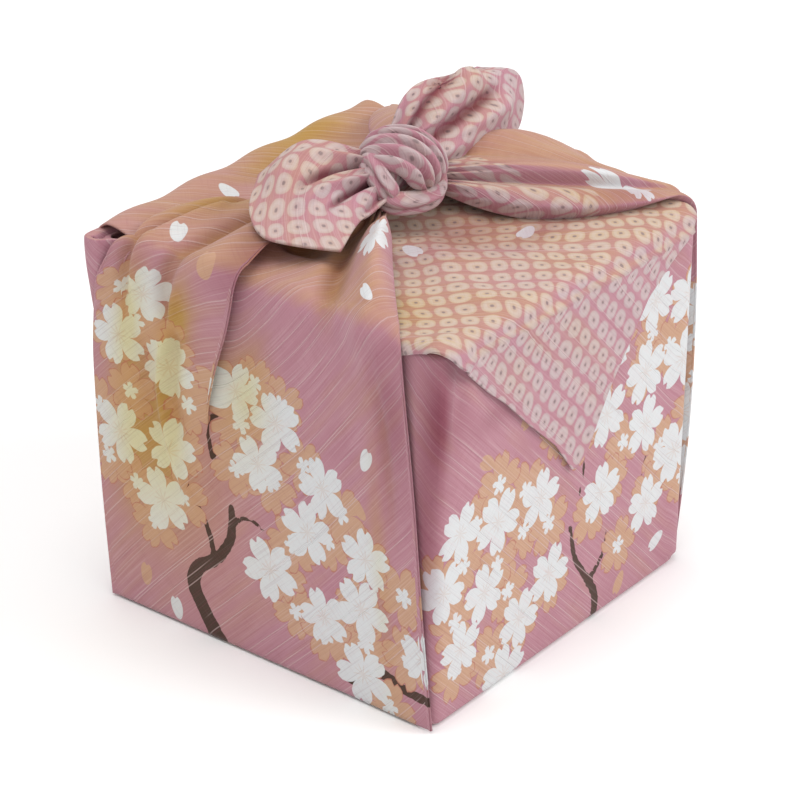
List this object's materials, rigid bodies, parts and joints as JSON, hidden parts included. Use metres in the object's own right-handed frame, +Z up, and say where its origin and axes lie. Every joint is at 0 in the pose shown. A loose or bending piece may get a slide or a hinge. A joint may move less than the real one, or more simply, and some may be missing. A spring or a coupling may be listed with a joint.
{
  "type": "furoshiki-wrapped gift box",
  "caption": "Square wrapping cloth tied over a gift box: a square knot with free ends on the lid, wings at the sides and a corner hanging down the front.",
  "frame": {"origin": "middle of the wrapped base, on the surface it stands on", "axes": "+Z up; -Y is the front face with the hanging corner, -X is the side of the left wing"},
  "size_m": [0.1792, 0.1709, 0.207],
  "materials": {
    "printed_cotton": "matt slubbed cotton, rose ground with a cherry blossom print and dotted corners",
    "pale_wood": "plain unvarnished pale wood"
  },
  "bodies": {
    "root": {"furoshiki": "printed_cotton", "gift_box": "pale_wood"}
  },
  "joints": []
}
